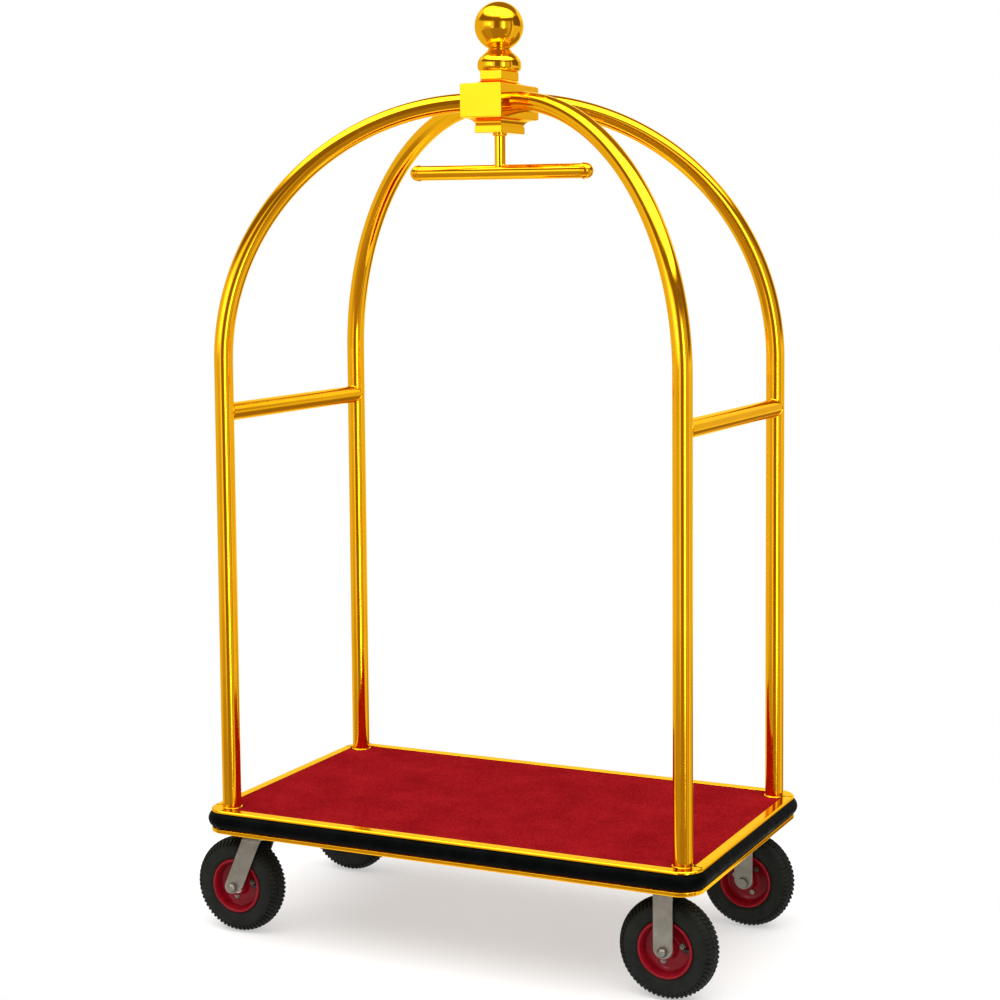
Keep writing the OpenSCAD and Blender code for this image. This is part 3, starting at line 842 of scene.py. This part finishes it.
def build_finial():
    """A squat bulb with a rounded foot, drawn in to a neck that carries the ball."""
    z0 = CROWN_Z + CROWN_H / 2 + CAP_H
    foot_r = 39 * MM
    belly_r = 44.3 * MM
    neck_r = 22 * MM
    belly_z = 9.5 * MM
    profile = [(foot_r - 3 * MM, -0.1 * MM)]
    for k in range(13):
        a = math.radians(-90 + 90 * k / 12)
        profile.append((foot_r + (belly_r - foot_r) * math.cos(a), belly_z * (1 + math.sin(a))))
    for k in range(1, 37):
        share = k / 36
        swing = (1 + math.cos(math.pi * share ** 1.55)) / 2
        profile.append((neck_r + (belly_r - neck_r) * swing, belly_z + (BULB_H - belly_z) * share))
    weld = weld_ring(neck_r - 0.8 * MM, 1.3 * MM, BULB_H, 12, 72)
    bulb = joined([lathe(profile, 96), weld])
    gold_piece("finial_turned_bulb", moved(bulb, shift(CART_X, 0, z0)), "finial_bulb")

    first = -math.degrees(math.acos(neck_r / BALL_R))
    profile = []
    for k in range(73):
        a = math.radians(first + (90 - first) * k / 72)
        profile.append((BALL_R * math.cos(a), BALL_Z + BALL_R * math.sin(a)))
    gold_piece("finial_polished_ball", moved(lathe(profile, 128), shift(CART_X, 0, 0)), "finial_ball")


def build_garment_bar():
    under = CROWN_Z - CROWN_H / 2 - BASE_H
    stem_r = 11 * MM
    flare_r = 14.5 * MM
    stem = [(stem_r, BAR_Z + 6 * MM), (stem_r, under - 5 * MM), (13.5 * MM, under - 4 * MM),
            (flare_r, under - 2.5 * MM), (flare_r, under + 0.2 * MM)]
    weld = []
    for k in range(48):
        a = 2 * math.pi * k / 48
        x = (stem_r + 0.2 * MM) * math.cos(a)
        y = (stem_r + 0.2 * MM) * math.sin(a)
        weld.append((x, y, BAR_Z + math.sqrt(BAR_R ** 2 - y ** 2)))
    part = joined([lathe(stem, 56), sweep(weld, 1.2 * MM, 8, closed=True)])
    make_piece("garment_stem", moved(part, shift(CART_X, 0, 0)), "root", "polished_gold", ["hanger_stem"])

    edge = 0.5 * MM
    tube = lathe([(BAR_R - edge, -BAR_HALF), (BAR_R, -BAR_HALF + edge)]
                 + [(BAR_R, -BAR_HALF + 2 * BAR_HALF * k / 16) for k in range(1, 16)]
                 + [(BAR_R, BAR_HALF - edge), (BAR_R - edge, BAR_HALF)], 56)
    place = shift(CART_X, 0, BAR_Z) @ turn(90, "Y")
    make_piece("garment_tube", moved(tube, place), "root", "polished_gold", ["hanger_bar"])

    knob_r = 16 * MM
    profile = [(12 * MM, -2 * MM), (15.6 * MM, 0), (16.5 * MM, 0.8 * MM), (16.5 * MM, 2.2 * MM),
               (15.3 * MM, 3.2 * MM), (15.3 * MM, 4.2 * MM), (16.3 * MM, 5.0 * MM), (16.3 * MM, 5.6 * MM)]
    profile += [(knob_r * math.cos(a), 6 * MM + knob_r * math.sin(a))
                for a in [math.radians(2 + 88 * k / 20) for k in range(21)]]
    knob = lathe(profile, 56)
    right = shift(CART_X + BAR_HALF, 0, BAR_Z) @ turn(90, "Y")
    left = shift(CART_X - BAR_HALF, 0, BAR_Z) @ turn(-90, "Y")
    knobs = joined([moved(knob, right), moved(knob, left)])
    make_piece("garment_knobs", knobs, "root", "polished_gold", ["hanger_end_knobs"])


# ------------------------------------------------------------------ casters

def leg_strap(x_shift, top, bend_r, side):
    """One leg: a strap with rounded edges that bends inwards under the plate."""
    drop = top - WHEEL_R
    rake = math.atan2(x_shift, drop)
    half = LEG_W / 2 / math.cos(rake)
    mid_t = LEG_T / 2
    edge = 0.9 * MM
    rows = []
    bottom = -14 * MM
    round_top = bottom + LEG_W / 2
    for k in range(15):
        a = math.radians(8 + 82 * k / 14)
        rows.append((round_top - LEG_W / 2 * math.cos(a), half * math.sin(a)))
    rows += [(round_top + (drop - bend_r - round_top) * k / 6, half) for k in range(1, 7)]
    rings = []

    def ring_at(x, width, centre_y, centre_z, out_y, out_z):
        ring = []
        for u, w in ((-1, -1), (1, -1), (1, 1), (-1, 1)):
            corners = [(u * (width - edge), w * mid_t), (u * width, w * (mid_t - edge))]
            if (u > 0) == (w < 0):
                pass
            else:
                corners.reverse()
            for along, off in corners:
                ring.append((x + along, centre_y + out_y * off, centre_z + out_z * off))
        return ring

    for height, width in rows:
        x = -x_shift * (1 - height / drop)
        rings.append(ring_at(x, width, side * (LEG_IN + mid_t), WHEEL_R + height, side, 0))
    base_z = top - bend_r
    for k in range(1, 8):
        a = math.pi / 2 * k / 7
        r = bend_r - mid_t
        y = LEG_IN + LEG_T - bend_r + r * math.cos(a)
        z = base_z + r * math.sin(a)
        x = -x_shift * (1 - (z - WHEEL_R) / drop)
        rings.append(ring_at(x, half, side * y, z, side * math.cos(a), math.sin(a)))
    end_y = LEG_IN + LEG_T - bend_r - 6 * MM
    rings.append(ring_at(0, half, side * end_y, top - mid_t, 0, 1))
    return loft(rings)


def top_plate():
    return rounded_slab(rounded_rectangle(46 * MM, 36 * MM, 7 * MM), PLATE_BOTTOM, PLATE_TOP, 0.7 * MM)


def build_rigid_fork(name, sy):
    legs = [leg_strap(0, PLATE_BOTTOM + 0.5 * MM, 9 * MM, side) for side in (1, -1)]
    bridge_plan = rounded_rectangle(LEG_W / 2, 24 * MM, 1.5 * MM)
    bridge = rounded_slab(bridge_plan, PLATE_BOTTOM - 3.5 * MM, PLATE_BOTTOM + 0.3 * MM, 0.5 * MM)
    part = joined([top_plate(), bridge] + legs)
    place = shift(CART_X + CASTER_X, sy * WHEEL_Y, 0)
    zinc_piece("rigid_caster_" + name, moved(part, place), "root", "rigid_fork_" + name)


def race_ring(z0, z1, inner, outer):
    edge = 0.8 * MM
    profile = [
        (inner, z0 + edge), (inner + edge, z0), (outer - edge, z0), (outer, z0 + edge),
        (outer, z1 - edge), (outer - edge, z1), (inner + edge, z1), (inner, z1 - edge),
    ]
    return lathe(profile, 72, closed=True)


def build_swivel_fork(name, sy):
    legs = [leg_strap(TRAIL, FORK_TOP, 9 * MM, side) for side in (1, -1)]
    crown = lathe([(6.2 * MM, 204 * MM), (36.8 * MM, 204 * MM), (38 * MM, 205.2 * MM),
                   (38 * MM, 206.8 * MM), (36.8 * MM, 208 * MM), (6.2 * MM, 208 * MM)], 72, closed=True)
    race = race_ring(207.5 * MM, 212 * MM, 21.5 * MM, 32.5 * MM)
    part = joined([crown, race] + legs)
    place = shift(CART_X - CASTER_X, sy * WHEEL_Y, 0)
    zinc_piece("swivel_caster_" + name, moved(part, place), "caster_" + name, "swivel_fork_" + name)


def build_swivel_plates():
    parts = []
    for sy in (-1, 1):
        upper = race_ring(218.8 * MM, PLATE_BOTTOM + 0.3 * MM, 21.5 * MM, 32.5 * MM)
        place = shift(CART_X - CASTER_X, sy * WHEEL_Y, 0)
        parts += [moved(top_plate(), place), moved(upper, place)]
    zinc_piece("swivel_top_plates", joined(parts), "root", "swivel_plates")


def build_kingpins():
    parts = []
    for sy in (-1, 1):
        place = shift(CART_X - CASTER_X, sy * WHEEL_Y, 0)
        pin = lathe([(5.2 * MM, 195 * MM), (6 * MM, 195.8 * MM), (6 * MM, 227 * MM), (11 * MM, 227 * MM),
                     (11 * MM, 230 * MM), (9.5 * MM, 231.6 * MM), (6 * MM, 232 * MM)], 48)
        nut = hexagon_prism(18 * MM, 196.5 * MM, 203.5 * MM)
        parts += [moved(pin, place), moved(nut, place)]
    zinc_piece("kingpin_bolts", joined(parts), "root", "kingpins")


def build_plate_bolts():
    bolts = []
    nuts = []
    for sx in (-1, 1):
        for sy in (-1, 1):
            for dx in (-34, 34):
                for dy in (-24, 24):
                    place = shift(CART_X + sx * CASTER_X + dx * MM, sy * WHEEL_Y + dy * MM, 0)
                    head = lathe([(9 * MM, 264 * MM), (9 * MM, 266.3 * MM), (8.4 * MM, 266.8 * MM)], 40)
                    shank = moved(thread(4 * MM, -265 * MM, -212 * MM), Matrix.Scale(-1, 4, (0, 0, 1)))
                    bolts += [moved(head, place), moved(shank, place)]
                    nut = hexagon_prism(13 * MM, 216 * MM, 222.2 * MM)
                    disc = washer(4.2 * MM, 7.6 * MM, 222.2 * MM, 223 * MM)
                    nuts += [moved(nut, place), moved(disc, place)]
    zinc_piece("plate_bolts", joined(bolts), "root", "caster_bolts")
    zinc_piece("plate_nuts", joined(nuts), "root", "caster_nuts")


# ------------------------------------------------------------------ wheels

WHEELS = {
    "left_front": (-CASTER_X - TRAIL, -1, "caster_front"),
    "left_rear": (-CASTER_X - TRAIL, 1, "caster_rear"),
    "right_front": (CASTER_X, -1, "root"),
    "right_rear": (CASTER_X, 1, "root"),
}


def wheel_place(name):
    """Carries a part turned about z to the wheel, its +z to the cart's outside."""
    x, sy, _ = WHEELS[name]
    outward = turn(90, "X") if sy < 0 else turn(180, "Z") @ turn(90, "X")
    return shift(CART_X + x, sy * WHEEL_Y, WHEEL_R) @ outward


def tyre_point(degrees, extra=0.0):
    """A point on the tyre's section: 0 is the crown of the tread, 90 the outer sidewall."""
    a = math.radians(degrees)
    power = 2 / 2.35
    c = math.copysign(abs(math.cos(a)) ** power, math.cos(a))
    s = math.copysign(abs(math.sin(a)) ** power, math.sin(a))
    return (72 + (24.6 + extra) * c) * MM, (26.2 + extra) * s * MM


def tyre_carcass():
    profile = []
    for k in range(-36, 37):
        degrees = k * 122 / 36
        r, y = tyre_point(degrees)
        step = abs(degrees)
        raised = 0.0
        for centre, half, height in ((66, 2.0, 0.5), (74, 1.6, 0.35), (108, 4.0, 0.7)):
            if abs(step - centre) < half:
                raised = height * MM
        profile.append((r, y + math.copysign(raised, y)))
    inner = [(55.2 * MM, 20.5 * MM), (51 * MM, 19 * MM), (51 * MM, -19 * MM), (55.2 * MM, -20.5 * MM)]
    return lathe(profile + inner, 128, closed=True)


def tread_block(start, end, width, skew, height, phase):
    """One rubber block that follows the tyre's section from one angle to another."""
    steps = 4
    rings = []
    for k in range(steps + 1):
        share = k / steps
        degrees = start + (end - start) * share
        taper = 0.82 if k in (0, steps) else 1.0
        lean = skew * (share - 0.5)
        ring = []
        top = height * taper
        for extra, side, narrow in ((-1.0, -1, 1.0), (top, -1, 0.78), (top, 1, 0.78), (-1.0, 1, 1.0)):
            r, y = tyre_point(degrees, extra)
            a = phase + (lean + side * width * narrow * taper / 2) / (WHEEL_R / MM)
            ring.append((r * math.cos(a), r * math.sin(a), y))
        rings.append(ring)
    return loft(rings)


def tyre_part():
    parts = [tyre_carcass()]
    count = 62
    pitch = 2 * math.pi / count
    for i in range(count):
        phase = i * pitch
        for side in (1, -1):
            shoulder = phase + (pitch / 2 if side < 0 else 0)
            parts.append(tread_block(side * 28, side * 63, 5.6, side * 2.5, 2.5, shoulder))
            parts.append(tread_block(side * 8, side * 24, 6.2, side * 4.0, 2.3, shoulder + pitch / 2))
        parts.append(tread_block(-5, 5, 6.4, 3.0, 2.3, phase))
    return joined(parts)


def rim_part():
    """Pressed steel rim: rolled flanges, a deep dish on both sides and a hub sleeve."""
    def outer_half(sign):
        points = [(50.3, 19.2), (56.0, 19.6)]
        for degrees in range(-25, 190, 18):
            a = math.radians(degrees)
            points.append((53.4 + 2.9 * math.cos(a), 22.4 + 2.9 * math.sin(a)))
        points += [(49.2, 20.6), (48.0, 17.0), (47.2, 11.0), (46.4, 7.5), (44.8, 5.2), (42.0, 4.0)]
        points += [(38.0, 3.6), (35.0, 2.9), (24.5, 2.9), (22.4, 3.6), (20.6, 5.6), (19.4, 9.0)]
        points += [(19.0, 12.0), (19.0, 25.2), (18.2, 26.0), (16.1, 26.0)]
        return [(r * MM, sign * y * MM) for r, y in points]
    section = outer_half(1) + outer_half(-1)[::-1]
    return lathe(section, 128, closed=True)


def rim_bolts_part():
    parts = []
    for k in range(3):
        place = turn(10 + 120 * k, "Z") @ shift(29 * MM, 0, 0)
        nut = hexagon_prism(10 * MM, 3.4 * MM, 7.6 * MM, chamfer_low=False)
        disc = washer(3.1 * MM, 6.2 * MM, 2.8 * MM, 3.5 * MM)
        stud = thread(3 * MM, 2 * MM, 9.5 * MM, 1.0 * MM)
        head = hexagon_prism(10 * MM, -6.6 * MM, -2.8 * MM, chamfer_high=False)
        parts += [moved(p, place) for p in (nut, disc, stud, head)]
    return joined(parts)


def valve_part():
    """Rubber valve stem with a ridged cap, through the rim wall into the dish."""
    profile = [(4.0, 0.0), (4.0, 3.0), (3.2, 3.6), (3.2, 6.0), (4.3, 6.2)]
    z = 6.2
    for _ in range(5):
        profile += [(4.5, z + 0.3), (4.5, z + 0.9), (4.2, z + 1.2)]
        z += 1.2
    profile += [(4.3, z + 0.4), (3.6, z + 1.1), (0.5, z + 1.3)]
    stem = lathe([(r * MM, h * MM) for r, h in profile], 40)
    return moved(stem, shift(46.5 * MM, 0, 10.5 * MM) @ turn(-90, "Y"))


def bearing_part():
    """Outer ring, dust shield and inner ring on both sides of the hub, with spacers."""
    parts = []
    for sign in (1, -1):
        profile = [(15.9, 14), (15.9, 23.4), (15.4, 24), (13.8, 24), (13.4, 23.4), (10.4, 23.2), (10.0, 24),
                   (9.0, 24.2), (9.0, 29.3), (8.5, 29.8), (6.2, 29.8), (6.2, 14)]
        parts.append(lathe([(r * MM, sign * y * MM) for r, y in profile], 64, closed=True))
    return joined(parts)


def build_wheels():
    tyre = tyre_part()
    rim = rim_part()
    bolts = rim_bolts_part()
    bearing = bearing_part()
    valve = valve_part()
    for name in WHEELS:
        place = wheel_place(name)
        body = "wheel_" + name
        for label, part, slot, nodes in (
            ("tread_tyre_", tyre, "tyre_rubber", ["tyre_" + name]),
            ("pressed_rim_", rim, "red_rim_paint", ["rim_" + name]),
            ("rim_hardware_", bolts, "zinc_plate", ["rim_bolts_" + name]),
            ("hub_bearings_", bearing, "plain_steel", ["bearings_" + name]),
            ("valve_stem_", valve, "tube_rubber", ["inner_tube_" + name]),
        ):
            make_piece(label + name, moved(part, place), body, slot, nodes)


def axle_bolt_part():
    outer = LEG_IN + LEG_T
    head = hexagon_prism(19 * MM, -outer - 7 * MM, -outer - 0.9 * MM, chamfer_high=False)
    disc = washer(6.2 * MM, 11.5 * MM, -outer - 0.9 * MM, -outer)
    shank = lathe([(6 * MM, -outer - 1 * MM), (6 * MM, outer + 6 * MM)], 40)
    return joined([head, disc, shank])


def axle_nut_part():
    """A smooth domed cap nut on a washer."""
    outer = LEG_IN + LEG_T
    disc = washer(6.2 * MM, 12 * MM, outer, outer + 1 * MM)
    dome = [(9.0 * MM, outer + 0.9 * MM), (9.8 * MM, outer + 1.6 * MM), (9.8 * MM, outer + 3.0 * MM)]
    for k in range(1, 17):
        a = math.radians(90 * k / 16)
        dome.append((9.8 * MM * math.cos(a), outer + 3.0 * MM + 9.5 * MM * math.sin(a)))
    return joined([disc, lathe(dome, 56)])


def build_axles():
    bolt = axle_bolt_part()
    nut = axle_nut_part()
    for end, body in (("front", "caster_front"), ("rear", "caster_rear")):
        place = wheel_place("left_" + end)
        zinc_piece("swivel_axle_" + end, moved(bolt, place), body, "swivel_axle_bolt_" + end)
        zinc_piece("swivel_cap_nut_" + end, moved(nut, place), body, "swivel_axle_nut_" + end)
    ends = [wheel_place("right_front"), wheel_place("right_rear")]
    zinc_piece("rigid_axles", joined([moved(bolt, p) for p in ends]), "root", "rigid_axle_bolts")
    zinc_piece("rigid_cap_nuts", joined([moved(nut, p) for p in ends]), "root", "rigid_axle_nuts")


# ------------------------------------------------------------------ studio

def build_floor():
    """A pale oval floor that glows a little, so that the cart's shadow on it stays light."""
    reach_x = 1.15
    reach_y = 0.85
    glow = 0.48
    steps = 96
    verts = [(0, 0, 0)] + [(reach_x * x, reach_y * y, z) for x, y, z in circle(1.0, 0, steps)]
    faces = [(0, i + 1, (i + 1) % steps + 1) for i in range(steps)]
    mesh = bpy.data.meshes.new("studio_floor")
    mesh.from_pydata(verts, [], faces)
    s = Shader("studio_floor", roughness=0.85, Specular_IOR_Level=0.1)
    s.color(s.ramp(s.noise(3.0), [(0.3, (0.40, 0.40, 0.40)), (0.7, (0.42, 0.42, 0.42))]))
    s.shader.inputs["Emission Color"].default_value = (1.0, 1.0, 1.0, 1.0)
    s.shader.inputs["Emission Strength"].default_value = glow
    mesh.materials.append(s.material)
    floor = bpy.data.objects.new("studio_floor", mesh)
    bpy.context.scene.collection.objects.link(floor)


# Soft boxes and dark flags of the studio: (azimuth from, to, soft edge), (elevation from, to,
# soft edge), level. Azimuth is in degrees from the cart's front (-Y) towards +X.
STUDIO = (
    ((-140, -52, 10), (-60, 24, 6), 0.84),
    ((-54, -14, 5), (-60, -1, 3), 0.70),
    ((-42, -13, 4), (0, 16, 3), 1.80),
    ((2, 34, 6), (-60, 24, 6), 0.25),
    ((46, 51, 1.5), (-45, 14, 3), 12.0),
    ((57, 78, 5), (-60, 24, 6), 0.70),
    ((80, 93, 4), (-60, 24, 6), 0.40),
    ((98, 158, 5), (-60, -1, 3), 0.84),
    ((98, 150, 4), (1, 14, 3), 0.20),
    ((98, 148, 4), (10, 34, 3), 0.20),
    ((-90, 100, 8), (18, 38, 4), 0.24),
    ((-70, 70, 12), (-80, -13, 3), 0.40),
    ((-20, -15, 2), (1, 8, 2), 12.0),
    ((-110, 125, 8), (43, 95, 4), 4.2),
    ((35, 110, 8), (34, 50, 4), 4.2),
    ((-190, -116, 6), (33, 82, 4), 0.32),
    ((132, 190, 6), (33, 82, 4), 0.32),
    ((146, 176, 4), (-8, 14, 3), 0.82),
    ((138, 176, 5), (-60, -12, 3), 0.35),
    ((-54, -14, 5), (-60, -12, 3), 0.50),
)


def build_studio_light():
    """A pale studio as a world, seen by reflections; the camera itself sees plain white."""
    world = bpy.data.worlds.new("studio")
    bpy.context.scene.world = world
    world.use_nodes = True
    tree = world.node_tree
    n = Nodes(tree)
    split = n.new("SeparateXYZ")
    n.link(n.new("TexCoord").outputs["Generated"], split.inputs[0])
    to_degrees = 180 / math.pi
    front = n.math("MULTIPLY", split.outputs["Y"], -1.0)
    azimuth = n.math("MULTIPLY", n.math("ARCTAN2", split.outputs["X"], front), to_degrees)
    elevation = n.math("MULTIPLY", n.math("ARCSINE", split.outputs["Z"]), to_degrees)

    def window(value, low, high, soft):
        rise = n.between(value, low - soft, low + soft, 0.0, 1.0, smooth=True)
        fall = n.between(value, high - soft, high + soft, 1.0, 0.0, smooth=True)
        return n.math("MULTIPLY", rise, fall)

    level = n.between(elevation, -40.0, -20.0, 0.85, 1.20, smooth=True)
    for across, upright, patch_level in STUDIO:
        mask = n.math("MULTIPLY", window(azimuth, *across), window(elevation, *upright))
        level = n.mix_value(mask, level, float(patch_level))
    background = tree.nodes["Background"]
    warm_dark = (1.0, 0.66, 0.42)
    pale = n.between(level, 0.25, 0.95, 0.0, 1.0)
    n.link(n.mix(pale, warm_dark, (1.0, 1.0, 1.0)), background.inputs["Color"])
    n.link(level, background.inputs["Strength"])

    plain = n.new("Background")
    plain.inputs["Color"].default_value = (1.0, 1.0, 1.0, 1.0)
    choice = n.new("MixShader")
    n.link(n.new("LightPath").outputs["Is Camera Ray"], choice.inputs[0])
    n.link(background.outputs[0], choice.inputs[1])
    n.link(plain.outputs[0], choice.inputs[2])
    n.link(choice.outputs[0], tree.nodes["World Output"].inputs["Surface"])


def build_camera():
    """A long lens to the right of the cart, turned to face it, looking slightly down."""
    heading = 23.645
    looking_down = 4.625
    leaning = -0.206
    stands_at = (CART_X + 1.8634, -3.6615, 1.4474)
    data = bpy.data.cameras.new("photo_camera")
    data.sensor_width = 36
    data.lens = 72.464
    data.shift_x = -0.11875
    data.shift_y = -0.10485
    camera = bpy.data.objects.new("photo_camera", data)
    bpy.context.scene.collection.objects.link(camera)
    azimuth = Matrix.Rotation(math.radians(heading), 4, "Z")
    tilt = Matrix.Rotation(math.radians(90 - looking_down), 4, "X")
    roll = Matrix.Rotation(math.radians(leaning), 4, "Z")
    place = Matrix.Translation(stands_at)
    camera.matrix_world = place @ azimuth @ tilt @ roll
    bpy.context.scene.camera = camera
    bpy.context.scene.view_settings.view_transform = "Standard"


# ------------------------------------------------------------------ build

build_camera()
build_studio_light()
build_floor()
finish_cad_nodes()
build_deck_rim()
build_bumper()
build_carpet()
for post_name, (post_sx, post_sy) in POST_SIGNS.items():
    build_post(post_name, post_sx, post_sy)
for rail_name, rail_sx in (("left", -1), ("right", 1)):
    build_side_rail(rail_name, rail_sx)
build_crown()
build_finial()
build_garment_bar()
build_rigid_fork("front", -1)
build_rigid_fork("rear", 1)
build_swivel_fork("front", -1)
build_swivel_fork("rear", 1)
build_swivel_plates()
build_kingpins()
build_plate_bolts()
build_wheels()
build_axles()
